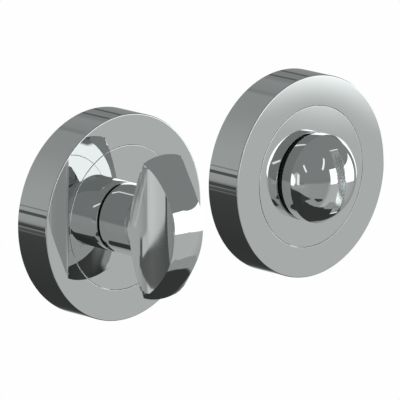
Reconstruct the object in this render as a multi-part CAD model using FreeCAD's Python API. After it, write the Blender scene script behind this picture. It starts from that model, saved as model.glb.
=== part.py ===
import FreeCAD, Part
import math
import os

from FreeCAD import Vector

# Bathroom lock set: a thumb turn and its coin release, side by side with their backs on one plane.
# Millimetres. The origin is the centre of the turn's rose on the door face.
# The roses face -Y, the release lies towards +X, and +Z is up.
# A depth is the distance forward from the door face, so a point at depth d lies at Y = -d.
# An angle is counted clockwise from the top, as seen from in front.

# Roses, the same on both halves
half_spacing = 62.0
rose_diameter = 50.0
rose_thickness = 10.0
cover_wall = 1.5
cover_front = 1.5
cover_edge_break = 0.3
disc_diameter = 35.0
disc_seam = 0.06
seam_bevel = 0.12
disc_flange = 1.3
disc_flange_clearance = 0.3

# Base plate, a casting that is open behind
base_clearance = 0.2
base_web = 2.8
base_rim_wall = 2.0
hub_wall = 1.8
rib_width = 1.6
rib_count = 8
fixing_inset = 4.3
fixing_hole_diameter = 4.4
fixing_head_diameter = 8.2
fixing_boss_wall = 2.3

# Open spring ring that the cover snaps over, half in the cover and half in the base plate
snap_ring_width = 1.1
snap_ring_thickness = 0.7
snap_ring_bite = 0.5
snap_ring_depth = 2.4
snap_ring_mouth = 24.0
snap_groove_clearance = 0.04

# Shafts and what they run in
shaft_diameter = 10.0
shaft_across_flats = 8.0
shaft_tail = 0.5
running_clearance = 0.05
bush_wall = 1.45
bush_fit = 0.03
bush_flange_inset = 0.4
knob_running_gap = 0.08
thrust_washer_thickness = 0.5
thrust_washer_diameter = 18.0
wave_washer_thickness = 0.3
wave_washer_height = 0.8
wave_washer_diameter = 16.0
wave_count = 3
washer_bore_clearance = 0.2
circlip_thickness = 1.0
circlip_groove_depth = 0.25
circlip_slack = 0.05
circlip_band = 1.7
circlip_mouth = 50.0
circlip_ear_radius = 1.4
circlip_ear_hole = 1.3

# Stop that limits each half to its quarter turn
stop_plate_thickness = 1.2
stop_plate_diameter = 19.0
stop_lug_reach = 3.1
stop_lug_angle = 20.0
stop_travel = 90.0
stop_slack = 0.5
stop_plate_clearance = 0.5

# Square drive between the halves
square_size = 5.0
turn_socket_clearance = 0.03
release_socket_clearance = 0.1
square_insert = 2.6
socket_end_room = 0.6
spindle_reach = 20.5
spindle_end_bevel = 0.5
spindle_pin_diameter = 1.5
spindle_pin_fit = 0.02
spindle_pin_inset = 0.25

# Thumb turn
turn_gap = 0.38
turn_neck_diameter = 17.0
turn_neck_length = 10.2
turn_head_height = 35.0
turn_back_rise = 2.5
turn_back_radius = 100.0
turn_ridge_land = 0.2
turn_crown_radius = 17.2
turn_crown_width = 18.0
turn_shoulder_radius = 40.75
turn_waist = 9.1
turn_scoop_radius = 14.2
turn_scoop_setback = 2.8

# Coin release
release_gap = 0.8
release_knob_diameter = 21.8
release_skirt = 3.1
release_dome_radius = 12.25
slot_width = 2.45
slot_cutter_radius = 18.9
slot_depth = 4.5
release_edge_break = 0.2

# Sizes that follow from the ones above
rose_radius = rose_diameter / 2
cover_bore_radius = rose_radius - cover_wall
cover_lip_depth = rose_thickness - cover_front
disc_hole_radius = disc_diameter / 2
disc_flange_back = cover_lip_depth - disc_flange
base_radius = cover_bore_radius - base_clearance
base_front = disc_flange_back
pocket_floor = base_front - base_web
shaft_radius = shaft_diameter / 2
bush_bore_radius = shaft_radius + running_clearance
bush_radius = bush_bore_radius + bush_wall
stop_plate_radius = stop_plate_diameter / 2
stop_lug_radius = stop_plate_radius + stop_lug_reach
pocket_radius = stop_plate_radius + stop_plate_clearance
recess_radius = stop_lug_radius + stop_plate_clearance
hub_radius = recess_radius + hub_wall
fixing_centres = 2 * (base_radius - fixing_inset)
fixing_radius = fixing_hole_diameter / 2
fixing_boss_radius = fixing_radius + fixing_boss_wall
snap_ring_outer = cover_bore_radius + snap_ring_bite
snap_ring_inner = snap_ring_outer - snap_ring_width
snap_ring_back = snap_ring_depth - snap_ring_thickness / 2
snap_ring_front = snap_ring_depth + snap_ring_thickness / 2

# The stack on each shaft, from the pocket's floor to the back
thrust_back = pocket_floor - thrust_washer_thickness
stop_front = thrust_back - running_clearance
stop_back = stop_front - stop_plate_thickness
wave_back = stop_back - wave_washer_height
groove_back = wave_back - circlip_thickness - circlip_slack
shaft_back = groove_back - shaft_tail
groove_radius = shaft_radius - circlip_groove_depth

# The thumb turn
turn_neck_back = rose_thickness + turn_gap
turn_neck_front = turn_neck_back + turn_neck_length
turn_ridge_depth = turn_neck_front + turn_back_rise
turn_ridge_radius = turn_head_height / 2
turn_dome_back = turn_ridge_depth + turn_ridge_land

# The dome of the turn: a crown of one radius runs smoothly into a flatter shoulder that ends at the ridge
turn_crown_sine = turn_crown_width / 2 / turn_crown_radius
turn_crown_cosine = math.sqrt(1 - turn_crown_sine ** 2)
turn_shoulder_offset = turn_shoulder_radius - turn_crown_radius
turn_shoulder_reach = turn_ridge_radius + turn_shoulder_offset * turn_crown_sine
turn_shoulder_centre = turn_dome_back - math.sqrt(turn_shoulder_radius ** 2 - turn_shoulder_reach ** 2)
turn_crown_centre = turn_shoulder_centre + turn_shoulder_offset * turn_crown_cosine
turn_apex = turn_crown_centre + turn_crown_radius

# The coin release
release_back = rose_thickness + release_gap
release_radius = release_knob_diameter / 2
release_dome_edge = release_back + release_skirt
release_dome_centre = release_dome_edge - math.sqrt(release_dome_radius ** 2 - release_radius ** 2)
release_apex = release_dome_centre + release_dome_radius

# The square drive in both knobs
spindle_front = turn_neck_back + square_insert
square_socket_end = spindle_front + socket_end_room


# A point at a radius and a depth, at an angle clockwise from the top.
def point(radius, depth, angle=90.0):
    turned_angle = math.radians(angle)
    return Vector(radius * math.sin(turned_angle), -depth, radius * math.cos(turned_angle))


# A solid turned about the axis of its half from corners given as (radius, depth).
def turned(corners):
    points = [point(radius, depth) for radius, depth in corners]
    outline = Part.makePolygon(points + points[:1])
    return Part.Face(outline).revolve(Vector(), Vector(0, 1, 0), 360)


# A round bar between two depths.
def bar(radius, back, front, x=0.0, z=0.0):
    return Part.makeCylinder(radius, front - back, Vector(x, -back, z), Vector(0, -1, 0))


# A flat ring between two depths.
def ring(inner, outer, back, front):
    return bar(outer, back, front).cut(bar(inner, back, front))


# A piece of a ring, centred on an angle.
def sector(inner, outer, back, front, middle, sweep):
    start = middle - sweep / 2
    corners = [point(inner, back, start), point(outer, back, start),
               point(outer, front, start), point(inner, front, start)]
    outline = Part.makePolygon(corners + corners[:1])
    return Part.Face(outline).revolve(Vector(), Vector(0, 1, 0), sweep)


# A block centred on the axis, so wide along X and so tall along Z.
def block(width, height, back, front):
    corner = Vector(-width / 2, -front, -height / 2)
    return Part.makeBox(width, front - back, height, corner)


# A round shaft section with two flats, used for the shafts and for the hole of the stop plates.
def flatted_bar(clearance, back, front):
    round_bar = bar(shaft_radius + clearance, back, front)
    between_flats = block(shaft_across_flats + 2 * clearance, 2 * shaft_diameter, back, front)
    return round_bar.common(between_flats)


# The outer shell of a rose: a skirt, and a front ring round the face disc.
def rose_cover():
    return turned([
        (cover_bore_radius, 0),
        (rose_radius, 0),
        (rose_radius, rose_thickness - cover_edge_break),
        (rose_radius - cover_edge_break, rose_thickness),
        (disc_hole_radius + seam_bevel, rose_thickness),
        (disc_hole_radius, rose_thickness - seam_bevel),
        (disc_hole_radius, cover_lip_depth),
        (cover_bore_radius, cover_lip_depth),
        (cover_bore_radius, snap_ring_front + snap_groove_clearance),
        (snap_ring_outer + snap_groove_clearance, snap_ring_front + snap_groove_clearance),
        (snap_ring_outer + snap_groove_clearance, snap_ring_back - snap_groove_clearance),
        (cover_bore_radius, snap_ring_back - snap_groove_clearance),
    ])


# The disc that fills the front of the cover, held by its flange behind the cover's lip.
def face_disc():
    front_radius = disc_hole_radius - disc_seam
    flange_radius = cover_bore_radius - disc_flange_clearance
    hole_radius = bush_radius + bush_fit
    return turned([
        (hole_radius, disc_flange_back),
        (flange_radius, disc_flange_back),
        (flange_radius, cover_lip_depth),
        (front_radius, cover_lip_depth),
        (front_radius, rose_thickness - seam_bevel),
        (front_radius - seam_bevel, rose_thickness),
        (hole_radius, rose_thickness),
    ])


# The casting that screws to the door: a front web, a rim, a hub, two screw bosses and ribs behind.
def base_plate():
    plate = ring(bush_radius + bush_fit, base_radius, pocket_floor, base_front)
    plate = plate.fuse(ring(base_radius - base_rim_wall, base_radius, 0, pocket_floor))
    hub = ring(pocket_radius, hub_radius, 0, pocket_floor)
    recess_sweep = stop_travel + stop_lug_angle + 2 * stop_slack
    hub = hub.cut(sector(pocket_radius - stop_plate_clearance, recess_radius, 0, pocket_floor, 0, recess_sweep))
    plate = plate.fuse(hub)
    inside_rim = ring(recess_radius, base_radius - base_rim_wall / 2, 0, pocket_floor)
    for index in range(rib_count):
        rib = Part.makeBox(rib_width, pocket_floor, base_radius, Vector(-rib_width / 2, -pocket_floor, 0))
        rib.rotate(Vector(), Vector(0, 1, 0), (index + 0.5) * 360 / rib_count)
        plate = plate.fuse(rib.common(inside_rim))
    for side in (-1, 1):
        boss = bar(fixing_boss_radius, 0, pocket_floor, 0, side * fixing_centres / 2)
        plate = plate.fuse(boss.common(inside_rim))
    for side in (-1, 1):
        centre = side * fixing_centres / 2
        plate = plate.cut(bar(fixing_radius, 0, base_front, 0, centre))
        head_radius = fixing_head_diameter / 2
        sink_depth = head_radius - fixing_radius
        sink = Part.makeCone(fixing_radius, head_radius, sink_depth,
                             Vector(0, sink_depth - base_front, centre), Vector(0, -1, 0))
        plate = plate.cut(sink)
    groove = ring(snap_ring_inner - snap_groove_clearance, cover_bore_radius,
                  snap_ring_back - snap_groove_clearance, snap_ring_front + snap_groove_clearance)
    return plate.cut(groove)


# The open spring ring between the cover and the base plate, its mouth at the bottom.
def snap_ring():
    return sector(snap_ring_inner, snap_ring_outer, snap_ring_back, snap_ring_front, 0, 360 - snap_ring_mouth)


# The black bush that a shaft runs in, with a flange that fills the gap behind the knob.
def bush(knob_back, flange_radius):
    flange_front = knob_back - knob_running_gap
    return turned([
        (bush_bore_radius, pocket_floor),
        (bush_radius, pocket_floor),
        (bush_radius, rose_thickness),
        (flange_radius, rose_thickness),
        (flange_radius, flange_front),
        (bush_bore_radius, flange_front),
    ])


# The plain steel washer between the pocket's floor and the stop plate.
def thrust_washer():
    return ring(bush_bore_radius, thrust_washer_diameter / 2, thrust_back, pocket_floor)


# The plate keyed on the shaft, whose lug meets the ends of the recess.
def stop_plate(lug_middle):
    plate = bar(stop_plate_radius, stop_back, stop_front)
    lug = sector(shaft_radius, stop_lug_radius, stop_back, stop_front, lug_middle, stop_lug_angle)
    return plate.fuse(lug).cut(flatted_bar(running_clearance, stop_back, stop_front)).removeSplitter()


# A closed curve round the axis that rises and falls along it.
def wave_curve(radius, middle, rise):
    steps = 8 * wave_count
    points = []
    for step in range(steps):
        turned_angle = 360.0 * step / steps
        depth = middle + rise * math.cos(math.radians(wave_count * turned_angle))
        points.append(point(radius, depth, turned_angle))
    curve = Part.BSplineCurve()
    curve.interpolate(Points=points, PeriodicFlag=True)
    return curve.toShape()


# The wave washer that keeps the knob from rattling.
def wave_washer():
    rise = (wave_washer_height - wave_washer_thickness) / 2 - circlip_slack / 2
    middle = (stop_back + wave_back - wave_washer_thickness) / 2
    inner = wave_curve(shaft_radius + washer_bore_clearance, middle, rise)
    outer = wave_curve(wave_washer_diameter / 2, middle, rise)
    sheet = Part.makeRuledSurface(inner, outer)
    return sheet.extrude(Vector(0, -wave_washer_thickness, 0))


# The retaining ring in the shaft's groove, with two ears for the pliers.
def circlip():
    inner = groove_radius + circlip_slack
    outer = inner + circlip_band
    back = wave_back - circlip_thickness
    clip = ring(inner, outer, back, wave_back)
    ear_distance = outer + circlip_ear_radius / 2
    ear_angles = [180 + side * circlip_mouth / 2 for side in (-1, 1)]
    mouth = sector(0, ear_distance + 2 * circlip_ear_radius, back, wave_back, 180, circlip_mouth)
    for angle in ear_angles:
        place = point(ear_distance, 0, angle)
        clip = clip.fuse(bar(circlip_ear_radius, back, wave_back, place.x, place.z))
    clip = clip.cut(bar(inner, back, wave_back)).cut(mouth)
    for angle in ear_angles:
        outside = angle + math.copysign(circlip_mouth / 4, angle - 180)
        place = point(ear_distance, 0, outside)
        clip = clip.fuse(bar(circlip_ear_radius, back, wave_back, place.x, place.z))
        clip = clip.cut(bar(circlip_ear_hole / 2, back, wave_back, place.x, place.z))
    return clip.cut(bar(inner, back, wave_back)).removeSplitter()


# Cuts the flats and the circlip's groove of a shaft, behind the thrust washer.
def shaft_cuts(knob):
    behind = bar(2 * shaft_diameter, shaft_back, stop_front)
    knob = knob.cut(behind.cut(flatted_bar(0, shaft_back, stop_front)))
    groove_front = wave_back + circlip_slack / 2
    return knob.cut(ring(groove_radius, 2 * shaft_radius, groove_back, groove_front))


# The square socket for the spindle, open at the back of a shaft.
def square_socket(clearance, end):
    size = square_size + 2 * clearance
    return block(size, size, shaft_back, end)


# The hole for the cross pin and the pin itself, across the middle of the bush.
def cross_pin(radius, length):
    depth = (pocket_floor + rose_thickness) / 2
    return Part.makeCylinder(radius, length, Vector(-length / 2, -depth, 0), Vector(1, 0, 0))


# An arc in the half plane of a turned outline, from its two ends and its radius.
def outline_arc(start, end, radius):
    chord = end - start
    across = Vector(-chord.y, chord.x, 0).normalize()
    sagitta = radius - math.sqrt(radius ** 2 - (chord.Length / 2) ** 2)
    return Part.Arc(start, start + chord * 0.5 + across * sagitta, end).toShape()


# The thumb turn: shaft, neck and a domed head scooped on both sides.
def turn_knob():
    dome_end = point(turn_ridge_radius, turn_dome_back)
    crown_end = point(turn_crown_width / 2, turn_crown_centre + turn_crown_radius * turn_crown_cosine)
    shoulder = outline_arc(dome_end, crown_end, turn_shoulder_radius)
    ridge_back = point(turn_ridge_radius, turn_ridge_depth)
    neck_front = point(turn_neck_diameter / 2, turn_neck_front)
    corners = [
        neck_front,
        point(turn_neck_diameter / 2, turn_neck_back),
        point(shaft_radius, turn_neck_back),
        point(shaft_radius, shaft_back),
        point(0, shaft_back),
        Vector(0, crown_end.y, 0),
        crown_end,
    ]
    sides = [Part.makeLine(start, end) for start, end in zip(corners, corners[1:])]
    sides += [shoulder, Part.makeLine(dome_end, ridge_back)]
    sides.append(outline_arc(ridge_back, neck_front, turn_back_radius))
    outline = Part.Wire(Part.__sortEdges__(sides))
    knob = Part.Face(outline).revolve(Vector(), Vector(0, 1, 0), 360)
    crown = Part.makeSphere(turn_crown_radius, point(0, turn_crown_centre))
    crown = crown.common(bar(turn_crown_radius, -crown_end.y, 2 * turn_apex))
    knob = knob.fuse(crown)
    for side in (-1, 1):
        scoop_x = side * (turn_waist / 2 + turn_scoop_radius)
        scoop = Part.makeCylinder(turn_scoop_radius, 2 * turn_head_height,
                                  Vector(scoop_x, turn_scoop_setback - turn_apex, -turn_head_height),
                                  Vector(0, 0, 1))
        knob = knob.cut(scoop)
    knob = shaft_cuts(knob)
    knob = knob.cut(square_socket(turn_socket_clearance, square_socket_end))
    return knob.cut(cross_pin(spindle_pin_diameter / 2 + spindle_pin_fit, shaft_diameter))


# The square bar that carries the quarter turn through the door.
def spindle():
    bar_block = block(square_size, square_size, -spindle_reach, spindle_front)
    end_edges = [edge for edge in bar_block.Edges if abs(edge.CenterOfMass.y - spindle_reach) < 0.001]
    bar_block = bar_block.makeChamfer(spindle_end_bevel, end_edges)
    return bar_block.cut(cross_pin(spindle_pin_diameter / 2 + spindle_pin_fit, shaft_diameter))


# The release knob: shaft, short skirt and a dome with a coin slot.
def release_knob():
    dome_start = point(release_radius, release_dome_edge)
    dome_end = point(0, release_apex)
    mid_angle = math.asin(release_radius / release_dome_radius) / 2
    dome_middle = point(release_dome_radius * math.sin(mid_angle),
                        release_dome_centre + release_dome_radius * math.cos(mid_angle))
    dome = Part.Arc(dome_start, dome_middle, dome_end).toShape()
    corners = [
        dome_start,
        point(release_radius, release_back + release_edge_break),
        point(release_radius - release_edge_break, release_back),
        point(shaft_radius, release_back),
        point(shaft_radius, shaft_back),
        point(0, shaft_back),
        dome_end,
    ]
    sides = [Part.makeLine(start, end) for start, end in zip(corners, corners[1:])]
    outline = Part.Wire(Part.__sortEdges__(sides + [dome]))
    knob = Part.Face(outline).revolve(Vector(), Vector(0, 1, 0), 360)
    cutter_depth = release_apex - slot_depth + slot_cutter_radius
    cutter = Part.makeCylinder(slot_cutter_radius, slot_width, Vector(-slot_width / 2, -cutter_depth, 0),
                               Vector(1, 0, 0))
    knob = shaft_cuts(knob.cut(cutter))
    return knob.cut(square_socket(release_socket_clearance, square_socket_end))


# Writes one piece, moved to its half, as the file of its node.
def save(name, shape, x):
    shape.translate(Vector(x, 0, 0))
    shape.exportStep("parts/" + name + ".step")
    print(name, "valid", shape.isValid(), "solids", len(shape.Solids), "volume %.1f" % shape.Volume)


# The pieces that both halves have.
def save_rose(half, x, knob_back, flange_radius, lug_middle):
    save(half + "_rose_cover", rose_cover(), x)
    save(half + "_face_disc", face_disc(), x)
    save(half + "_base_plate", base_plate(), x)
    save(half + "_snap_ring", snap_ring(), x)
    save(half + "_bush", bush(knob_back, flange_radius), x)
    save(half + "_thrust_washer", thrust_washer(), x)
    save(half + "_stop_plate", stop_plate(lug_middle), x)
    save(half + "_wave_washer", wave_washer(), x)
    save(half + "_circlip", circlip(), x)


os.makedirs("parts", exist_ok=True)
save_rose("turn", 0, turn_neck_back, turn_neck_diameter / 2 - bush_flange_inset, stop_travel / 2)
save("turn_knob", turn_knob(), 0)
save("turn_spindle", spindle(), 0)
save("turn_spindle_pin", cross_pin(spindle_pin_diameter / 2, shaft_diameter - 2 * spindle_pin_inset), 0)
save_rose("release", half_spacing, release_back, release_radius - bush_flange_inset, -stop_travel / 2)
save("release_knob", release_knob(), half_spacing)
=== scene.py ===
import bpy
import math
from mathutils import Matrix, Vector
from mathutils.kdtree import KDTree


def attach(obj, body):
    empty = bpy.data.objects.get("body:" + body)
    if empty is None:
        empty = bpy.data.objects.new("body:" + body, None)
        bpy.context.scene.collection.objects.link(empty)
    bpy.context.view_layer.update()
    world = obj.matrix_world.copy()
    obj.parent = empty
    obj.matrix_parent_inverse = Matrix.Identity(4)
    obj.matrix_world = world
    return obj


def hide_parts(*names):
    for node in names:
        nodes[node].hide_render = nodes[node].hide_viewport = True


# Bathroom lock set in polished chrome: a thumb turn and its coin release, side by side.
# Lengths in the dictionaries are millimetres. A depth is the distance forward of the door face, towards -Y.

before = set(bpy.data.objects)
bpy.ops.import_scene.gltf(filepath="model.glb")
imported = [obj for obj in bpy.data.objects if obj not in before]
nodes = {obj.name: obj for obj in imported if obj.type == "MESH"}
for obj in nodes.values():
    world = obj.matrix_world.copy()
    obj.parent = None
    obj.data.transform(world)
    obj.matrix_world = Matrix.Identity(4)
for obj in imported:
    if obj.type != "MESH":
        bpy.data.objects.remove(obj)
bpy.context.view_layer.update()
mm = 0.001
print("stage 1: frame loaded")


def onlyThis(piece):
    # everything else is deselected, so that an operator acts on this piece alone
    if bpy.context.object and bpy.context.object.mode != "OBJECT":
        bpy.ops.object.mode_set(mode="OBJECT")
    bpy.ops.object.select_all(action="DESELECT")
    piece.select_set(True)
    bpy.context.view_layer.objects.active = piece


def arcPoints(start, end, radius, count):
    # points after start, up to end, on an arc that bulges to the right of the way from start to end
    along = Vector(end) - Vector(start)
    half = along.length / 2
    across = Vector((along.y, -along.x)).normalized()
    centre = (Vector(start) + Vector(end)) / 2 - across * math.sqrt(radius ** 2 - half ** 2)
    first = Vector(start) - centre
    sweep = first.angle_signed(Vector(end) - centre)
    points = []
    for step in range(1, count + 1):
        turned = first.copy()
        turned.rotate(Matrix.Rotation(-sweep * step / count, 2))
        points.append((centre.x + turned.x, centre.y + turned.y))
    return points


def spinPiece(name, profile, axisX, steps):
    # a profile of (radius, depth) points is drawn from one vertex and spun about the axis of its half
    bpy.ops.object.select_all(action="DESELECT")
    radius, depth = profile[0]
    bpy.ops.mesh.primitive_plane_add(size=mm, location=((axisX + radius) * mm, -depth * mm, 0))
    piece = bpy.context.object
    piece.name = piece.data.name = name
    bpy.ops.object.mode_set(mode="EDIT")
    bpy.ops.mesh.select_mode(type="VERT")
    bpy.ops.mesh.select_all(action="SELECT")
    bpy.ops.mesh.merge(type="CENTER")
    for (r0, d0), (r1, d1) in zip(profile, profile[1:]):
        move = ((r1 - r0) * mm, (d0 - d1) * mm, 0)
        bpy.ops.mesh.extrude_region_move(TRANSFORM_OT_translate={"value": move})
    bpy.ops.mesh.select_all(action="SELECT")
    bpy.ops.mesh.spin(steps=steps, angle=math.tau, center=(axisX * mm, 0, 0), axis=(0, 1, 0))
    bpy.ops.mesh.select_all(action="SELECT")
    bpy.ops.mesh.remove_doubles(threshold=0.001 * mm)
    bpy.ops.mesh.normals_make_consistent(inside=False)
    bpy.ops.object.mode_set(mode="OBJECT")
    bpy.ops.object.transform_apply(location=True, rotation=True, scale=True)
    return piece


def roundCorner(before, corner, after, width, count):
    # points on a curve that starts so far before a profile's corner and ends as far after it
    start = Vector(corner) + (Vector(before) - Vector(corner)).normalized() * width
    end = Vector(corner) + (Vector(after) - Vector(corner)).normalized() * width
    points = []
    for step in range(count + 1):
        share = step / count
        place = start * (1 - share) ** 2 + Vector(corner) * 2 * share * (1 - share) + end * share ** 2
        points.append((place.x, place.y))
    return points


def cutAway(piece, cutter):
    # takes the cutter's shape out of the piece
    onlyThis(piece)
    hole = piece.modifiers.new("cut", "BOOLEAN")
    hole.operation = "DIFFERENCE"
    hole.solver = "EXACT"
    hole.object = cutter
    bpy.ops.object.modifier_apply(modifier=hole.name)


def wholeCopy(piece):
    # a copy of the shape before it is cut, to shade the cut one by
    onlyThis(piece)
    bpy.ops.object.duplicate()
    return bpy.context.object


def shadeAsBefore(piece, patterns, insideOut):
    # points on the whole shape or on a cutter take its normals, so that cuts don't bend what the chrome reflects
    onlyThis(piece)
    bpy.ops.object.shade_smooth_by_angle(angle=math.radians(25))
    creased = {v for edge in piece.data.edges if edge.use_edge_sharp for v in edge.vertices}
    for pattern in patterns:
        onlyThis(pattern)
        bpy.ops.object.shade_smooth_by_angle(angle=math.radians(25))
        if pattern in insideOut:
            bpy.ops.object.mode_set(mode="EDIT")
            bpy.ops.mesh.select_all(action="SELECT")
            bpy.ops.mesh.flip_normals()
            bpy.ops.object.mode_set(mode="OBJECT")
        touching = [point.index for point in piece.data.vertices if point.index not in creased
                    and pattern.closest_point_on_mesh(point.co, distance=0.004 * mm)[0]]
        group = piece.vertex_groups.new(name="touching")
        group.add(touching, 1, "REPLACE")
        onlyThis(piece)
        lent = piece.modifiers.new("lent", "DATA_TRANSFER")
        lent.object = pattern
        lent.use_loop_data = True
        lent.data_types_loops = {"CUSTOM_NORMAL"}
        lent.loop_mapping = "POLYINTERP_NEAREST"
        lent.vertex_group = group.name
        bpy.ops.object.modifier_apply(modifier=lent.name)
        piece.vertex_groups.clear()
        bpy.data.objects.remove(pattern)


def selectSharpEdges(piece, isNear, sharpness):
    # selects the sharp edges whose middle is where isNear says, and leaves the piece in edit mode
    onlyThis(piece)
    bpy.ops.object.mode_set(mode="EDIT")
    bpy.ops.mesh.select_mode(type="EDGE")
    bpy.ops.mesh.select_all(action="DESELECT")
    bpy.ops.mesh.edges_select_sharp(sharpness=math.radians(sharpness))
    bpy.ops.object.mode_set(mode="OBJECT")
    points = piece.data.vertices
    chosen = []
    for edge in piece.data.edges:
        middle = (points[edge.vertices[0]].co + points[edge.vertices[1]].co) / 2
        edge.select = edge.select and isNear(middle / mm)
        if edge.select:
            chosen.append(edge)
    for point in points:
        point.select = False
    for face in piece.data.polygons:
        face.select = False
    for edge in chosen:
        points[edge.vertices[0]].select = points[edge.vertices[1]].select = True
    bpy.ops.object.mode_set(mode="EDIT")


def roundSharpEdges(piece, width, segments, isNear, sharpness=25):
    # short steps along the edge are joined, points beside it make room, and then it is bevelled
    selectSharpEdges(piece, isNear, sharpness)
    bpy.ops.mesh.remove_doubles(threshold=0.05 * mm)
    selectSharpEdges(piece, isNear, sharpness)
    bpy.ops.object.mode_set(mode="OBJECT")
    points = piece.data.vertices
    onEdge = {v for edge in piece.data.edges if edge.select for v in edge.vertices}
    places = []
    for edge in piece.data.edges:
        if edge.select:
            start, end = (points[v].co for v in edge.vertices)
            places += [start, (start + end) / 2]
    near = KDTree(len(places))
    for index, place in enumerate(places):
        near.insert(place, index)
    near.balance()
    for edge in piece.data.edges:
        edge.select = False
    for point in points:
        point.select = point.index not in onEdge and near.find(point.co)[2] < 1.7 * width * mm
    bpy.ops.object.mode_set(mode="EDIT")
    bpy.ops.mesh.select_mode(type="VERT")
    bpy.ops.mesh.dissolve_verts()
    selectSharpEdges(piece, isNear, sharpness)
    bpy.ops.mesh.bevel(offset=width * mm, segments=segments, affect="EDGES", clamp_overlap=False)
    bpy.ops.object.mode_set(mode="OBJECT")


def evenShade(piece):
    # wide flat faces stay flat beside their rounded edges
    onlyThis(piece)
    bpy.ops.object.shade_smooth_by_angle(angle=math.radians(30))
    even = piece.modifiers.new("even", "WEIGHTED_NORMAL")
    even.keep_sharp = True
    bpy.ops.object.modifier_apply(modifier=even.name)


def finishPiece(piece, node, body, material):
    # its material, the body that it moves with and the node that it stands for
    piece.data.materials.clear()
    piece.data.materials.append(material)
    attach(piece, body)
    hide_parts(node)


def linearColour(hexText):
    # an sRGB hex value as the linear colour that nodes take
    parts = [int(hexText[i:i + 2], 16) / 255 for i in (1, 3, 5)]
    linear = [part / 12.92 if part <= 0.04045 else ((part + 0.055) / 1.055) ** 2.4 for part in parts]
    return (*linear, 1)


def addNode(tree, kind, inputs={}, **settings):
    # adds one node; an input is given a value, or the socket that it is linked from
    node = tree.nodes.new(kind)
    for setting, value in settings.items():
        setattr(node, setting, value)
    for name, value in inputs.items():
        socket = node.inputs[name]
        if isinstance(value, bpy.types.NodeSocket):
            tree.links.new(value, socket)
        else:
            socket.default_value = value
    return node


def setRamp(node, stops):
    # a ramp's stops as (place, grey or colour)
    ramp = node.color_ramp
    while len(ramp.elements) < len(stops):
        ramp.elements.new(1)
    while len(ramp.elements) > len(stops):
        ramp.elements.remove(ramp.elements[-1])
    for element, (place, value) in zip(ramp.elements, stops):
        element.position = place
        element.color = value if isinstance(value, tuple) else (value, value, value, 1)


def newMaterial(name):
    material = bpy.data.materials.new(name)
    material.use_nodes = True
    tree = material.node_tree
    tree.nodes.clear()
    shader = addNode(tree, "ShaderNodeBsdfPrincipled")
    addNode(tree, "ShaderNodeOutputMaterial", {"Surface": shader.outputs[0]})
    place = addNode(tree, "ShaderNodeTexCoord").outputs["Object"]
    return material, tree, shader, place


# Zinc die castings and brass discs, buffed and then plated with copper, nickel and chrome.
# The plate is a cool, nearly colourless mirror. Buffing leaves a faint unevenness that bends long
# reflections a little, and handling leaves a soft bloom that only dulls the brightest of them.
chrome = {
    "tint": "#E7E8E8",
    "roughness": 0.01,
    "bloom": 0.03,           # roughness where it is bloomed
    "bloomSize": 9.0,
    "waveSize": 14.0,        # from one buffed hollow to the next
    "waveDepth": 0.0006,
    # the slot's paler tint is painted light, brightening the reflections inside the recess
    "slotPaintedPaleTint": "#F6F7F7",
    "slotDullness": 16.0,    # how many times rougher the plate is in the coin slot
}


def polishedChromePlate(name, seed, tint, dullness=1.0):
    material, tree, shader, place = newMaterial(name)
    moved = addNode(tree, "ShaderNodeMapping", {"Vector": place, "Location": (seed, seed, seed)})
    shader.inputs["Base Color"].default_value = linearColour(tint)
    shader.inputs["Metallic"].default_value = 1
    bloom = addNode(tree, "ShaderNodeTexNoise", {"Vector": moved.outputs[0], "Detail": 4,
                                                 "Scale": 1 / (chrome["bloomSize"] * mm)})
    rough = addNode(tree, "ShaderNodeMapRange", {"Value": bloom.outputs[0], "From Min": 0.45, "From Max": 0.75,
                                                 "To Min": chrome["roughness"] * dullness, "To Max": chrome["bloom"] * dullness})
    tree.links.new(rough.outputs[0], shader.inputs["Roughness"])
    wave = addNode(tree, "ShaderNodeTexNoise", {"Vector": moved.outputs[0], "Detail": 0,
                                                "Scale": 1 / (chrome["waveSize"] * mm)})
    bump = addNode(tree, "ShaderNodeBump", {"Height": wave.outputs[0], "Strength": 1,
                                            "Distance": chrome["waveDepth"] * mm})
    tree.links.new(bump.outputs[0], shader.inputs["Normal"])
    return material


roseChrome = polishedChromePlate("chromePlatePolishedRose", 0.3, chrome["tint"])
knobChrome = polishedChromePlate("chromePlatePolishedKnob", 0.7, chrome["tint"])
# a buffing wheel can't reach into the coin slot, so its plate stays satin; its tint is also made paler, a painted
# brightening of the slot's reflections
slotChrome = polishedChromePlate("chromePlateSatinSlotPaintedPale", 0.5, chrome["slotPaintedPaleTint"], chrome["slotDullness"])


# Zinc alloy, die cast and left as cast: a dull grey skin with a fine grain and darker flow patches.
def castZinc():
    material, tree, shader, place = newMaterial("zincDieCast")
    patches = addNode(tree, "ShaderNodeTexNoise", {"Vector": place, "Scale": 1 / (6 * mm), "Detail": 5})
    colour = addNode(tree, "ShaderNodeValToRGB", {"Fac": patches.outputs[0]})
    setRamp(colour, [(0.3, linearColour("#8D9092")), (0.7, linearColour("#B4B6B7"))])
    tree.links.new(colour.outputs[0], shader.inputs["Base Color"])
    shader.inputs["Metallic"].default_value = 0.9
    rough = addNode(tree, "ShaderNodeMapRange", {"Value": patches.outputs[0], "To Min": 0.36, "To Max": 0.56})
    tree.links.new(rough.outputs[0], shader.inputs["Roughness"])
    grain = addNode(tree, "ShaderNodeTexNoise", {"Vector": place, "Scale": 1 / (0.5 * mm), "Detail": 3})
    bump = addNode(tree, "ShaderNodeBump", {"Height": grain.outputs[0], "Strength": 0.6, "Distance": 0.02 * mm})
    tree.links.new(bump.outputs[0], shader.inputs["Normal"])
    return material


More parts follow.
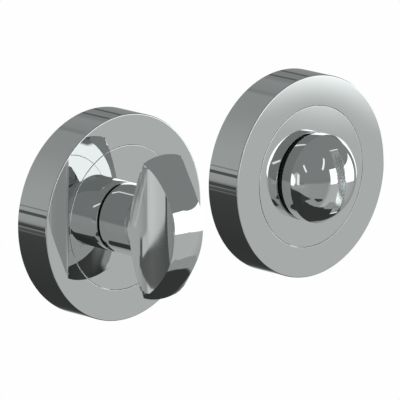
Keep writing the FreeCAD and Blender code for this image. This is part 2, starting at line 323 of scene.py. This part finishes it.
# Nylon, moulded in black: nearly matt, with a fine spark-eroded grain and a soft sheen at the edges.
def mouldedNylon():
    material, tree, shader, place = newMaterial("nylonMouldedBlack")
    grain = addNode(tree, "ShaderNodeTexNoise", {"Vector": place, "Scale": 1 / (0.12 * mm), "Detail": 3})
    colour = addNode(tree, "ShaderNodeValToRGB", {"Fac": grain.outputs[0]})
    setRamp(colour, [(0.3, linearColour("#060606")), (0.7, linearColour("#0D0D0E"))])
    tree.links.new(colour.outputs[0], shader.inputs["Base Color"])
    shader.inputs["Roughness"].default_value = 0.7
    shader.inputs["IOR"].default_value = 1.53
    bump = addNode(tree, "ShaderNodeBump", {"Height": grain.outputs[0], "Strength": 0.3, "Distance": 0.004 * mm})
    tree.links.new(bump.outputs[0], shader.inputs["Normal"])
    return material


# Steel, either spring steel tempered to a dark oxide and oiled, or mild steel with a bright zinc plate.
# Both show the fine lines of the strip or bar that they are made from.
def drawnSteel(name, dark, pale, roughness):
    material, tree, shader, place = newMaterial(name)
    lines = addNode(tree, "ShaderNodeMapping", {"Vector": place, "Scale": (1, 12, 12)})
    streaks = addNode(tree, "ShaderNodeTexNoise", {"Vector": lines.outputs[0], "Scale": 1 / (4 * mm), "Detail": 4})
    colour = addNode(tree, "ShaderNodeValToRGB", {"Fac": streaks.outputs[0]})
    setRamp(colour, [(0.3, linearColour(dark)), (0.7, linearColour(pale))])
    tree.links.new(colour.outputs[0], shader.inputs["Base Color"])
    shader.inputs["Metallic"].default_value = 1
    rough = addNode(tree, "ShaderNodeMapRange", {"Value": streaks.outputs[0], "To Min": roughness - 0.08,
                                                 "To Max": roughness + 0.08})
    tree.links.new(rough.outputs[0], shader.inputs["Roughness"])
    bump = addNode(tree, "ShaderNodeBump", {"Height": streaks.outputs[0], "Strength": 0.4, "Distance": 0.01 * mm})
    tree.links.new(bump.outputs[0], shader.inputs["Normal"])
    return material


zincCasting = castZinc()
blackNylon = mouldedNylon()
springSteel = drawnSteel("springSteelTempered", "#3E3B38", "#5C5853", 0.34)
plainSteel = drawnSteel("mildSteelZincPlated", "#A9AEB3", "#CBCFD3", 0.3)
nodeMaterials = {
    "rose_cover": roseChrome, "face_disc": roseChrome, "knob": knobChrome, "base_plate": zincCasting,
    "bush": blackNylon, "snap_ring": springSteel, "wave_washer": springSteel, "circlip": springSteel,
    "thrust_washer": plainSteel, "stop_plate": plainSteel, "spindle": plainSteel, "spindle_pin": plainSteel,
}
for nodeName, node in nodes.items():
    material = nodeMaterials[nodeName.split("_", 1)[1]]
    node.data.materials.clear()
    node.data.materials.append(material)
print("stage 2: materials made")


# Rose cover: the skirt and the ring round the face disc
cover = {
    "radius": 25.0, "wall": 1.5, "thickness": 10.0, "front": 1.5,
    "holeRadius": 17.5, "edgeRound": 0.3, "seamRound": 0.12, "rearRound": 0.15, "steps": 192,
}


def roseCover(half, axisX):
    inner = cover["radius"] - cover["wall"]
    edge = cover["edgeRound"]
    seam = cover["seamRound"]
    rear = cover["rearRound"]
    profile = [(inner, cover["thickness"] - cover["front"]), (inner, 0)]
    profile += [(cover["radius"] - rear, 0)]
    profile += arcPoints((cover["radius"] - rear, 0), (cover["radius"], rear), rear, 3)
    profile += [(cover["radius"], cover["thickness"] - edge)]
    profile += arcPoints((cover["radius"], cover["thickness"] - edge), (cover["radius"] - edge, cover["thickness"]), edge, 5)
    profile += [(cover["holeRadius"] + seam, cover["thickness"])]
    profile += arcPoints((cover["holeRadius"] + seam, cover["thickness"]), (cover["holeRadius"], cover["thickness"] - seam), seam, 3)
    profile += [(cover["holeRadius"], cover["thickness"] - cover["front"]), (inner, cover["thickness"] - cover["front"])]
    piece = spinPiece(half + "RoseCover", profile, axisX, cover["steps"])
    evenShade(piece)
    finishPiece(piece, half + "_rose_cover", "roses", roseChrome)


# Face disc: flat, inside the seam, with the hole that the bush stands in
disc = {"radius": 17.44, "holeRadius": 6.53, "flangeRadius": 23.2, "flangeBack": 7.2, "flangeFront": 8.5,
        "front": 10.0, "edgeRound": 0.12, "steps": 192}


def faceDisc(half, axisX):
    edge = disc["edgeRound"]
    profile = [(disc["holeRadius"], disc["flangeBack"]), (disc["flangeRadius"], disc["flangeBack"]),
               (disc["flangeRadius"], disc["flangeFront"]), (disc["radius"], disc["flangeFront"]),
               (disc["radius"], disc["front"] - edge)]
    profile += arcPoints(profile[-1], (disc["radius"] - edge, disc["front"]), edge, 3)
    profile += [(disc["holeRadius"], disc["front"]), profile[0]]
    piece = spinPiece(half + "FaceDisc", profile, axisX, disc["steps"])
    evenShade(piece)
    finishPiece(piece, half + "_face_disc", "roses", roseChrome)


# Thumb turn: neck, back, ridge and dome spun in one, then scooped on both sides
turn = {
    "apex": 32.78, "crownRadius": 17.2, "crownEnd": 9.0, "ridgeRadius": 17.5, "ridgeFront": 23.28,
    "ridgeBack": 23.08, "backRadius": 100.0, "neckRadius": 8.5, "neckFront": 20.58, "neckBack": 10.38,
    "neckRound": 0.15, "shaftRadius": 5.0, "shaftBack": 0.3, "grooveRadius": 4.75, "grooveBack": 0.8,
    "grooveFront": 1.875, "acrossFlats": 8.0, "flatsFront": 3.85, "square": 5.06, "squareEnd": 13.58,
    "scoopRadius": 14.2, "scoopX": 18.75, "scoopDepth": 29.98, "scoopHeight": 44.0, "scoopSteps": 240,
    "scoopRows": 88, "edgeRound": 0.08, "ridgeRound": 0.18, "tipRound": 1.7, "tipPasses": 10, "steps": 256, "rings": 40,
}


def backProfile(part, front):
    # the shaft's end and groove, shared by both knobs, from the axis to the back of the neck or skirt
    return [(0, part["shaftBack"]), (part["shaftRadius"], part["shaftBack"]),
            (part["shaftRadius"], part["grooveBack"]), (part["grooveRadius"], part["grooveBack"]),
            (part["grooveRadius"], part["grooveFront"]), (part["shaftRadius"], part["grooveFront"]),
            (part["shaftRadius"], front)]


def boxCutter(width, height, back, front, x):
    # a block between two depths, to cut with
    bpy.ops.object.select_all(action="DESELECT")
    bpy.ops.mesh.primitive_cube_add(size=1, location=(x * mm, -(back + front) / 2 * mm, 0))
    block = bpy.context.object
    block.scale = (width * mm, (front - back) * mm, height * mm)
    bpy.ops.object.transform_apply(location=True, rotation=True, scale=True)
    return block


def cutShaft(piece, part, axisX):
    # the two flats of the shaft's rear end, and the square socket in it
    flat = part["shaftRadius"] - part["acrossFlats"] / 2
    blocks = [boxCutter(part["square"], part["square"], -1, part["squareEnd"], axisX)]
    for side in (-1, 1):
        middle = axisX + side * (part["acrossFlats"] / 2 + flat)
        blocks.append(boxCutter(2 * flat, 4 * part["shaftRadius"], -1, part["flatsFront"], middle))
    for block in blocks:
        cutAway(piece, block)
        bpy.data.objects.remove(block)


def scoopCutter(side):
    # an upright cylinder with short faces, so that the edges shade only what lies beside them
    bpy.ops.object.select_all(action="DESELECT")
    bpy.ops.mesh.primitive_cylinder_add(vertices=turn["scoopSteps"], radius=turn["scoopRadius"] * mm,
                                        depth=turn["scoopHeight"] * mm,
                                        location=(side * turn["scoopX"] * mm, -turn["scoopDepth"] * mm, 0))
    cutter = bpy.context.object
    bpy.ops.object.transform_apply(location=True)
    bpy.ops.object.mode_set(mode="EDIT")
    bpy.ops.mesh.select_mode(type="EDGE")
    bpy.ops.mesh.select_all(action="DESELECT")
    bpy.ops.object.mode_set(mode="OBJECT")
    for edge in cutter.data.edges:
        start, end = (cutter.data.vertices[v].co for v in edge.vertices)
        edge.select = abs(start.z - end.z) > turn["scoopHeight"] / 2 * mm
    bpy.ops.object.mode_set(mode="EDIT")
    bpy.ops.mesh.subdivide(number_cuts=turn["scoopRows"] - 1)
    bpy.ops.object.mode_set(mode="OBJECT")
    return cutter


def wearTips(piece):
    # polishing wears the four tips of the head round
    depth = (turn["ridgeBack"] + turn["ridgeFront"]) / 2
    across = turn["scoopX"] - math.sqrt(turn["scoopRadius"] ** 2 - (turn["scoopDepth"] - depth) ** 2)
    height = math.sqrt(turn["ridgeRadius"] ** 2 - across ** 2)
    tips = [Vector((x, -depth, z)) * mm for x in (-across, across) for z in (-height, height)]
    onlyThis(piece)
    bpy.ops.object.mode_set(mode="EDIT")
    bpy.ops.mesh.select_mode(type="VERT")
    bpy.ops.mesh.select_all(action="DESELECT")
    bpy.ops.object.mode_set(mode="OBJECT")
    for point in piece.data.vertices:
        point.select = min((point.co - tip).length for tip in tips) < turn["tipRound"] * mm
    bpy.ops.object.mode_set(mode="EDIT")
    bpy.ops.mesh.vertices_smooth(factor=0.5, repeat=turn["tipPasses"])
    bpy.ops.object.mode_set(mode="OBJECT")


def thumbTurn():
    crownAngle = math.asin(turn["crownEnd"] / turn["crownRadius"])
    centre = turn["apex"] - turn["crownRadius"]
    ringCount = turn["rings"]
    profile = backProfile(turn, turn["neckBack"])
    edge = turn["neckRound"]
    profile += [(turn["neckRadius"] - edge, turn["neckBack"])]
    profile += arcPoints(profile[-1], (turn["neckRadius"], turn["neckBack"] + edge), edge, 3)
    profile += [(turn["neckRadius"], turn["neckBack"] + (turn["neckFront"] - turn["neckBack"]) * step / 4)
                for step in range(1, 5)]
    # the back bulges away from the rose, the shoulder runs tangent into the crown, and a round ridge joins them
    ridge = (turn["ridgeRadius"], (turn["ridgeBack"] + turn["ridgeFront"]) / 2)
    back = arcPoints(profile[-1], ridge, turn["backRadius"], ringCount)
    crownEnd = Vector((turn["crownEnd"], centre + turn["crownRadius"] * math.cos(crownAngle)))
    chord = Vector(ridge) - crownEnd
    outward = Vector((math.sin(crownAngle), math.cos(crownAngle)))
    shoulderRadius = chord.length_squared / (-2 * chord.dot(outward))
    shoulder = arcPoints(ridge, tuple(crownEnd), shoulderRadius, ringCount)
    profile += back[:-1] + roundCorner(back[-2], ridge, shoulder[0], turn["ridgeRound"], 8) + shoulder
    profile += [(turn["crownRadius"] * math.sin(crownAngle * (1 - step / ringCount)),
                 centre + turn["crownRadius"] * math.cos(crownAngle * (1 - step / ringCount)))
                for step in range(1, ringCount + 1)]
    piece = spinPiece("thumbTurn", profile, 0, turn["steps"])
    whole = wholeCopy(piece)
    scoops = [scoopCutter(side) for side in (-1, 1)]
    for scoop in scoops:
        cutAway(piece, scoop)
    cutShaft(piece, turn, 0)
    wearTips(piece)
    roundSharpEdges(piece, turn["edgeRound"], 4, lambda at: -at.y > turn["neckFront"] - 1)
    shadeAsBefore(piece, [whole] + scoops, scoops)
    finishPiece(piece, "turn_knob", "turn", knobChrome)


# Coin release: a short skirt, a dome and a curved slot for a coin
release = {
    "axisX": 62.0, "back": 10.8, "radius": 10.9, "skirtFront": 13.9, "domeRadius": 12.25, "edgeRound": 0.2,
    "slotWidth": 2.45, "slotDepth": 4.5, "slotCutterRadius": 18.9, "slotEdge": 0.12, "steps": 256, "rings": 56,
    "shaftRadius": 5.0, "shaftBack": 0.3, "grooveRadius": 4.75, "grooveBack": 0.8, "grooveFront": 1.875,
    "acrossFlats": 8.0, "flatsFront": 3.85, "square": 5.2, "squareEnd": 13.58,
}


def coinRelease():
    axisX = release["axisX"]
    edge = release["edgeRound"]
    domeCentre = release["skirtFront"] - math.sqrt(release["domeRadius"] ** 2 - release["radius"] ** 2)
    edgeAngle = math.asin(release["radius"] / release["domeRadius"])
    profile = backProfile(release, release["back"])
    profile += [(release["radius"] - edge, release["back"])]
    profile += arcPoints(profile[-1], (release["radius"], release["back"] + edge), edge, 4)
    profile += [(release["radius"], release["skirtFront"])]
    profile += [(release["domeRadius"] * math.sin(edgeAngle * (1 - step / release["rings"])),
                 domeCentre + release["domeRadius"] * math.cos(edgeAngle * (1 - step / release["rings"])))
                for step in range(1, release["rings"] + 1)]
    piece = spinPiece("coinRelease", profile, axisX, release["steps"])
    whole = wholeCopy(piece)
    apex = domeCentre + release["domeRadius"]
    cutterDepth = apex - release["slotDepth"] + release["slotCutterRadius"]
    bpy.ops.object.select_all(action="DESELECT")
    bpy.ops.mesh.primitive_cylinder_add(vertices=360, radius=release["slotCutterRadius"] * mm,
                                        depth=release["slotWidth"] * mm, rotation=(0, math.pi / 2, 0),
                                        location=(axisX * mm, -cutterDepth * mm, 0))
    slot = bpy.context.object
    bpy.ops.object.transform_apply(location=True, rotation=True)
    cutAway(piece, slot)
    cutShaft(piece, release, axisX)
    centre = Vector((axisX, -domeCentre, 0))
    roundSharpEdges(piece, release["slotEdge"], 4,
                    lambda at: -at.y > release["skirtFront"] and (at - centre).length > release["domeRadius"] - 0.05)
    shadeAsBefore(piece, [whole, slot], [slot])
    finishPiece(piece, "release_knob", "release", knobChrome)
    piece.data.materials.append(slotChrome)
    for face in piece.data.polygons:
        at = face.center / mm
        if -at.y > apex - release["slotDepth"] - 0.1 and abs(at.x - axisX) < release["slotWidth"] / 2 + 0.01:
            face.material_index = 1 if (at - centre).length < release["domeRadius"] - 0.15 else 0


for half, axisX in (("turn", 0), ("release", release["axisX"])):
    roseCover(half, axisX)
    faceDisc(half, axisX)
print("stage 3: roses made")
thumbTurn()
print("stage 4: thumb turn made")
coinRelease()
print("stage 5: coin release made")

# The studio: a plain pale floor and a white background, with a soft light in front on the right. Round them hangs
# a tent that only the metal sees: a studio in greys, with its softbox, its floor sheets and its window.
studio = {
    "camera": {"target": (34.21, 0, -3.07), "azimuth": 43.49, "elevation": 13.35, "distance": 1744, "lens": 650.7},
    "floorHeight": -1500, "clothHeight": -1480, "floorSize": 14000, "tentRadius": 6000, "worldLevel": 0.62,
    "lightSize": (1.9, 0.56), "lightAzimuth": 55, "lightElevation": 1.8, "lightDistance": 1200, "lightLevel": 2.4,
}

# Greys in the tent are named by how they show in the chrome, from 0 for black to 255 for white; more than 255 is
# brighter than white. Behind the set they run round the axis that the roses face along, from straight up towards
# +X; in front and at the sides they run by height.
tent = {
    "reflectance": 0.777, "cloth": "#FAFFFE",
    "front": [(-90, 50), (-27, 50), (-14, 78), (-8, 95), (-4, 118), (10, 120), (90, 119)],
    "back": [(-180, 49), (-125, 57), (-104, 64), (-102, 132), (-100, 142), (-85, 150), (-65, 149), (-40, 143),
             (-20, 136), (5, 134), (11, 135), (15, 118), (20, 128), (38, 132), (45, 118), (50, 124), (60, 119),
             (75, 125), (95, 128), (108, 185), (116, 195), (123, 130), (132, 62), (145, 50), (180, 49)],
    "backStreaks": [(-112.2, 1.6, 92), (-108, 1.6, 117), (-91.2, 3.4, 74), (-84.6, 1.2, 110), (50.8, 3.6, 84),
                    (67.6, 4.4, 82)],
}

# What hangs in the tent, by direction in degrees, where an azimuth runs from the front towards +X. Each piece has
# the azimuths of its two sides, its lower and its upper edge as (azimuth, elevation) points, how soft its sides,
# its lower and its upper edge are, and its grey as (azimuth, grey) points.
tentPieces = {
    "floorSheetGrey": {
        "sides": (28, 116), "lower": [(34, -60), (42, -60), (58, -55.5), (74, -49.5), (90, -42), (106, -34.5)],
        "upper": [(0, -5)], "soft": (3, 2, 6), "grey": [(0, 138)]},
    "floorSheetPale": {
        "sides": (-50, 96), "lower": [(-50, -49.5), (-46, -50), (-30, -58), (-10, -62), (8, -62), (22, -60),
                                      (30, -57), (31, -46), (42, -45), (58, -39), (82, -33)],
        "upper": [(0, -6)], "soft": (4, 1.5, 6), "grey": [(-30, 140), (6, 138), (15, 166), (60, 168), (80, 155)]},
    "floorSheetLeft": {
        "sides": (-80, -38), "lower": [(-80, -18), (-63, -25), (-48, -35), (-38, -41)], "upper": [(0, -8)],
        "soft": (6, 1.5, 6), "grey": [(0, 143)]},
    "floorGap": {
        "sides": (-56, -30), "lower": [(-56, -60), (-47, -50), (-46, -48), (-30, -43.5)],
        "upper": [(-63, -25), (-48, -35), (-30, -43)], "soft": (1, 1.5, 1.5), "grey": [(0, 58)]},
    "floorShadow": {
        "sides": (-20, 4), "lower": [(-20, -45), (-8, -50), (4, -47)], "upper": [(0, -42)], "soft": (2, 1.5, 1),
        "grey": [(0, 52)]},
    "window": {
        "sides": (-76, -60), "lower": [(-76, -4), (-60, -12)], "upper": [(-76, 10), (-68, 19), (-60, 13)],
        "soft": (3, 5, 5), "grey": [(-76, 190), (-73, 235), (-71, 90), (-69, 215), (-67, 60), (-65, 235), (-60, 225)]},
    "softbox": {
        "sides": (13, 95), "lower": [(18, -11.2), (42, -11.2), (44.2, -11.88), (66, -13.3), (90, -13.8)],
        "upper": [(18, 18.4), (34, 16.8), (42, 13.8), (52, 12), (62, 11), (90, 10.5)], "soft": (2, 1.4, 1),
        "grey": [(0, 284)]},
    "sideWall": {
        "sides": (-88, -48), "lower": [(0, -16)], "upper": [(0, -11)], "soft": (2, 2, 3),
        "grey": [(-88, 146), (-83, 140), (-78, 148), (-70, 156), (-50, 157)]},
    "sideWallPleats": {
        "sides": (-89, -52), "lower": [(0, -13.24)], "upper": [(0, -11)], "soft": (1, 0.12, 3),
        "grey": [(-88, 136), (-84, 150), (-80, 128), (-76, 148), (-72, 124), (-68, 140), (-64, 122), (-60, 146)]},
    "sideCard": {
        "sides": (-130, -88), "lower": [(0, -14.6)], "upper": [(0, -8)], "soft": (2, 0.6, 3),
        "grey": [(-125, 176), (-111, 181), (-98, 190), (-92, 186), (-89, 176)]},
    "sideCardFoot": {
        "sides": (-90, -77), "lower": [(0, -13.95)], "upper": [(-88, -13.58), (-77, -13.66)],
        "soft": (0.8, 0.015, 0.02), "grey": [(0, 174)]},
    "sideCardEdge": {
        "sides": (-78.5, -74), "lower": [(0, -13.95)], "upper": [(0, -13.64)], "soft": (0.6, 0.03, 0.03),
        "grey": [(0, 84)]},
    "sideCardShade": {
        "sides": (-146, -129.5), "lower": [(0, -14.3)], "upper": [(0, -12.8)], "soft": (2, 0.05, 0.05),
        "grey": [(0, 74)]},
    "sideFoldDark": {
        "sides": (-87, -54), "lower": [(-84, -12.99), (-67, -13.24), (-56, -13.5)],
        "upper": [(-84, -12.93), (-67, -13.17), (-56, -13.4)], "soft": (3, 0.04, 0.04),
        "grey": [(-86, 112), (-66, 120), (-54, 140)]},
    "sideFoldPale": {
        "sides": (-88, -62), "lower": [(-86, -13.06), (-76, -13.28), (-66, -13.52)],
        "upper": [(-86, -13.01), (-76, -13.22), (-66, -13.46)], "soft": (3, 0.03, 0.03), "grey": [(0, 172)]},
    "sideDark": {
        "sides": (-142, -73), "lower": [(-142, -14.3), (-95, -14.17), (-86, -14.09), (-79, -14.02), (-74, -13.93)],
        "upper": [(-131, -13.43), (-126, -13.57), (-111, -13.67), (-91, -13.76), (-79, -13.84), (-73, -13.82)],
        "soft": (2, 0.02, 0.02), "grey": [(-130, 76), (-100, 88), (-80, 80)]},
}

# What hangs there at a slant, as the directions of its two ends, its width and its grey
tentBars = {
    "stripLeft": {"ends": ((-52, 36), (-44, 20)), "width": 4, "grey": 235},
    "stripRight": {"ends": ((-4, 22), (12, 44)), "width": 4.5, "grey": 240},
}


def studioFloor():
    bpy.ops.object.select_all(action="DESELECT")
    bpy.ops.mesh.primitive_plane_add(size=studio["floorSize"] * mm, location=(0, 0, studio["floorHeight"] * mm))
    floor = bpy.context.object
    floor.name = "studioFloor"
    material = bpy.data.materials.new("paperSweepWhite")
    material.use_nodes = True
    tree = material.node_tree
    tree.nodes.clear()
    matt = addNode(tree, "ShaderNodeBsdfPrincipled", {"Base Color": linearColour("#F4F4F3"), "Roughness": 0.9})
    glow = addNode(tree, "ShaderNodeEmission", {"Color": linearColour("#FEFEFE"), "Strength": 1})
    ray = addNode(tree, "ShaderNodeLightPath")
    seen = addNode(tree, "ShaderNodeMath", {0: ray.outputs["Is Camera Ray"], 1: ray.outputs["Is Glossy Ray"]},
                   operation="MAXIMUM")
    seen = addNode(tree, "ShaderNodeMath", {0: seen.outputs[0], 1: ray.outputs["Is Transmission Ray"]},
                   operation="MAXIMUM")
    mixed = addNode(tree, "ShaderNodeMixShader", {"Fac": seen.outputs[0], 1: matt.outputs[0], 2: glow.outputs[0]})
    addNode(tree, "ShaderNodeOutputMaterial", {"Surface": mixed.outputs[0]})
    floor.data.materials.append(material)


def whiteWorld():
    world = bpy.data.worlds.new("studioWorld")
    bpy.context.scene.world = world
    world.use_nodes = True
    tree = world.node_tree
    tree.nodes.clear()
    ray = addNode(tree, "ShaderNodeLightPath")
    seen = addNode(tree, "ShaderNodeMath", {0: ray.outputs["Is Camera Ray"], 1: ray.outputs["Is Glossy Ray"]},
                   operation="MAXIMUM")
    seen = addNode(tree, "ShaderNodeMath", {0: seen.outputs[0], 1: ray.outputs["Is Transmission Ray"]},
                   operation="MAXIMUM")
    soft = addNode(tree, "ShaderNodeBackground", {"Strength": studio["worldLevel"]})
    white = addNode(tree, "ShaderNodeBackground", {"Color": linearColour("#FEFEFE"), "Strength": 1})
    mixed = addNode(tree, "ShaderNodeMixShader", {"Fac": seen.outputs[0], 1: soft.outputs[0], 2: white.outputs[0]})
    addNode(tree, "ShaderNodeOutputWorld", {"Surface": mixed.outputs[0]})


def glowMaterial(name, level):
    # a card that shows in the metal at this level, from 0 to 1 as it renders in a perfect mirror
    material = bpy.data.materials.new(name)
    material.use_nodes = True
    tree = material.node_tree
    tree.nodes.clear()
    glow = addNode(tree, "ShaderNodeEmission", {"Strength": level})
    addNode(tree, "ShaderNodeOutputMaterial", {"Surface": glow.outputs[0]})
    return material, tree, glow


def onlyInMetal(card):
    # the card is seen by reflections alone: it neither shows, lights nor shadows
    card.visible_camera = False
    card.visible_diffuse = False
    card.visible_shadow = False
    card.visible_transmission = False


def mathNode(tree, operation, first, second=0.0):
    return addNode(tree, "ShaderNodeMath", {0: first, 1: second}, operation=operation).outputs[0]


def curveOver(tree, value, points, half, low, high):
    # a value that runs through (place, value) points, over places from -half to half, between low and high
    share = addNode(tree, "ShaderNodeMapRange", {"Value": value, "From Min": -half, "From Max": half})
    ramp = addNode(tree, "ShaderNodeValToRGB", {"Fac": share.outputs[0]})
    setRamp(ramp, [((at + half) / (2 * half), (level - low) / (high - low)) for at, level in sorted(points)])
    return addNode(tree, "ShaderNodeMapRange", {"Value": ramp.outputs[0], "To Min": low, "To Max": high}).outputs[0]


def levelOf(grey):
    # the light that shows in the chrome as this grey
    share = (grey / 255 + 0.055) / 1.055
    return share ** 2.4 / tent["reflectance"]


def greyOver(tree, value, points, half):
    return curveOver(tree, value, [(at, levelOf(grey)) for at, grey in points], half, 0, 2)


def risesAt(tree, value, edge, soft):
    # 0 below the edge and 1 above it, across a soft band with the edge in its middle
    past = mathNode(tree, "SUBTRACT", value, edge)
    return addNode(tree, "ShaderNodeMapRange", {"Value": past, "From Min": -soft / 2, "From Max": soft / 2},
                   interpolation_type="SMOOTHSTEP").outputs[0]


def greyTent():
    bpy.ops.object.select_all(action="DESELECT")
    bpy.ops.mesh.primitive_uv_sphere_add(segments=64, ring_count=32, radius=studio["tentRadius"] * mm)
    sphere = bpy.context.object
    sphere.name = "studioTent"
    material, tree, glow = glowMaterial("tentCloth", 1)
    place = addNode(tree, "ShaderNodeTexCoord").outputs["Object"]
    way = addNode(tree, "ShaderNodeVectorMath", {0: place}, operation="NORMALIZE")
    parts = addNode(tree, "ShaderNodeSeparateXYZ", {0: way.outputs[0]})
    forward = mathNode(tree, "MULTIPLY", parts.outputs["Y"], -1)
    azimuth = mathNode(tree, "DEGREES", mathNode(tree, "ARCTAN2", parts.outputs["X"], forward))
    elevation = mathNode(tree, "DEGREES", mathNode(tree, "ARCSINE", parts.outputs["Z"]))
    around = mathNode(tree, "DEGREES", mathNode(tree, "ARCTAN2", parts.outputs["X"], parts.outputs["Z"]))
    front = greyOver(tree, elevation, tent["front"], 90)
    back = greyOver(tree, around, tent["back"], 180)
    for at, width, grey in tent["backStreaks"]:
        past = mathNode(tree, "ABSOLUTE", mathNode(tree, "SUBTRACT", around, at))
        inside = risesAt(tree, mathNode(tree, "SUBTRACT", width / 2, past), 0, 0.8)
        back = addNode(tree, "ShaderNodeMix", {0: inside, 2: back, 3: levelOf(grey)}).outputs[0]
    behind = risesAt(tree, parts.outputs["Y"], 0.4, 0.15)
    shown = addNode(tree, "ShaderNodeMix", {0: behind, 2: front, 3: back}).outputs[0]
    for piece in tentPieces.values():
        sideSoft, lowerSoft, upperSoft = piece["soft"]
        lower = curveOver(tree, azimuth, piece["lower"], 180, -90, 90)
        upper = curveOver(tree, azimuth, piece["upper"], 180, -90, 90)
        level = greyOver(tree, azimuth, piece["grey"], 180)
        inside = risesAt(tree, azimuth, piece["sides"][0], sideSoft)
        fromRight = mathNode(tree, "SUBTRACT", piece["sides"][1], azimuth)
        inside = mathNode(tree, "MULTIPLY", inside, risesAt(tree, fromRight, 0, sideSoft))
        inside = mathNode(tree, "MULTIPLY", inside, risesAt(tree, elevation, lower, lowerSoft))
        fromTop = mathNode(tree, "SUBTRACT", upper, elevation)
        inside = mathNode(tree, "MULTIPLY", inside, risesAt(tree, fromTop, 0, upperSoft))
        shown = addNode(tree, "ShaderNodeMix", {0: inside, 2: shown, 3: level}).outputs[0]
    for slanted in tentBars.values():
        (azimuth0, elevation0), (azimuth1, elevation1) = slanted["ends"]
        length = math.hypot(azimuth1 - azimuth0, elevation1 - elevation0)
        alongX, alongZ = (azimuth1 - azimuth0) / length, (elevation1 - elevation0) / length
        overX = mathNode(tree, "SUBTRACT", azimuth, (azimuth0 + azimuth1) / 2)
        overZ = mathNode(tree, "SUBTRACT", elevation, (elevation0 + elevation1) / 2)
        along = mathNode(tree, "ADD", mathNode(tree, "MULTIPLY", overX, alongX), mathNode(tree, "MULTIPLY", overZ, alongZ))
        across = mathNode(tree, "SUBTRACT", mathNode(tree, "MULTIPLY", overX, alongZ),
                          mathNode(tree, "MULTIPLY", overZ, alongX))
        short = mathNode(tree, "SUBTRACT", length / 2, mathNode(tree, "ABSOLUTE", along))
        narrow = mathNode(tree, "SUBTRACT", slanted["width"] / 2, mathNode(tree, "ABSOLUTE", across))
        inside = mathNode(tree, "MULTIPLY", risesAt(tree, short, 0, 3), risesAt(tree, narrow, 0, 1))
        shown = addNode(tree, "ShaderNodeMix", {0: inside, 2: shown, 3: levelOf(slanted["grey"])}).outputs[0]
    cool = addNode(tree, "ShaderNodeVectorMath", {0: linearColour(tent["cloth"])[:3], "Scale": shown}, operation="SCALE")
    tree.links.new(cool.outputs[0], glow.inputs["Color"])
    sphere.data.materials.append(material)
    onlyInMetal(sphere)
    bpy.ops.object.select_all(action="DESELECT")
    bpy.ops.mesh.primitive_plane_add(size=2 * studio["tentRadius"] * mm, location=(0, 0, studio["clothHeight"] * mm))
    bpy.ops.object.transform_apply(location=True)
    cloth = bpy.context.object
    cloth.name = "studioFloorCloth"
    cloth.data.materials.append(material)
    onlyInMetal(cloth)


def placeByDirection(card, azimuth, elevation, distance):
    # puts a card so far from the set in a direction, facing it; azimuth is from the front towards +X
    turn = math.radians(azimuth)
    rise = math.radians(elevation)
    way = Vector((math.sin(turn) * math.cos(rise), -math.cos(turn) * math.cos(rise), math.sin(rise)))
    card.location = Vector(studio["camera"]["target"]) * mm + way * distance * mm
    card.rotation_euler = way.to_track_quat("Z", "Y").to_euler()


def softLight():
    # the softbox as a lamp; the metal sees its picture in the tent instead
    bpy.ops.object.select_all(action="DESELECT")
    bpy.ops.mesh.primitive_plane_add(size=1)
    card = bpy.context.object
    card.name = "softLight"
    card.scale = (*studio["lightSize"], 1)
    placeByDirection(card, studio["lightAzimuth"], studio["lightElevation"], studio["lightDistance"])
    material, tree, glow = glowMaterial("softboxCloth", studio["lightLevel"])
    card.data.materials.append(material)
    card.visible_camera = False
    card.visible_glossy = False


def studioCamera():
    view = studio["camera"]
    turn = math.radians(view["azimuth"])
    rise = math.radians(view["elevation"])
    back = Vector((-math.sin(turn) * math.cos(rise), -math.cos(turn) * math.cos(rise), math.sin(rise)))
    bpy.ops.object.camera_add(location=Vector(view["target"]) * mm + back * view["distance"] * mm)
    camera = bpy.context.object
    camera.rotation_euler = back.to_track_quat("Z", "Y").to_euler()
    camera.data.lens = view["lens"]
    camera.data.sensor_width = 36
    camera.data.clip_end = 100
    bpy.context.scene.camera = camera


studioFloor()
whiteWorld()
greyTent()
softLight()
studioCamera()
bpy.context.scene.view_settings.view_transform = "Standard"
print("stage 6: studio made")
